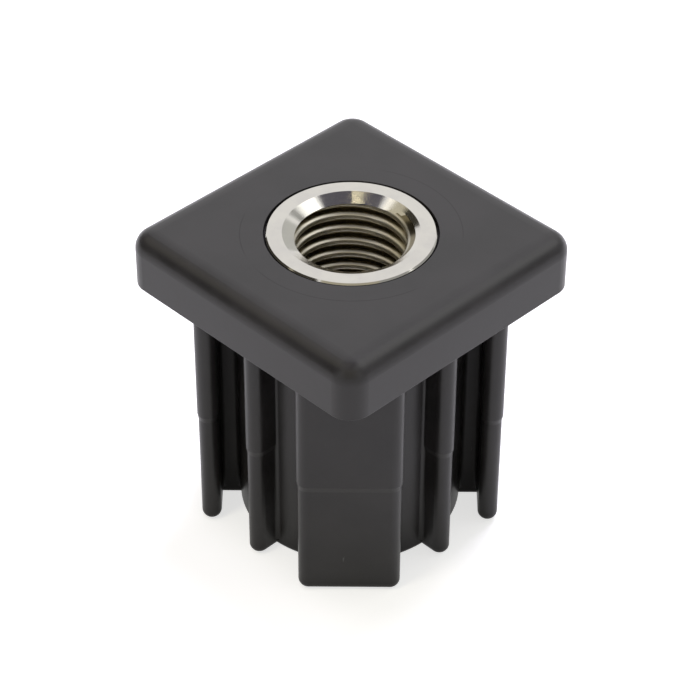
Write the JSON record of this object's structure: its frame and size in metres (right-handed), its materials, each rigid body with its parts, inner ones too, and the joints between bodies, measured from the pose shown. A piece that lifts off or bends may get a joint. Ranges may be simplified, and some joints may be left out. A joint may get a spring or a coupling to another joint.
{
  "type": "threaded tube end plug",
  "caption": "Square end plug for a box tube: a soft-edged head, a round core with ribs and corner blades, and a threaded steel bush.",
  "frame": {"origin": "on the plug's axis, in the plane of the head's underside, which seats on the tube's end", "axes": "+Z along the thread, out of the tube; X and Y square to the head's sides"},
  "size_m": [0.04, 0.04, 0.0431],
  "materials": {
    "black_plastic": "black moulded nylon, satin",
    "plated_steel": "turned steel, bright nickel plate"
  },
  "bodies": {
    "root": {"plug_body": "black_plastic", "threaded_bush": "plated_steel"}
  },
  "joints": []
}
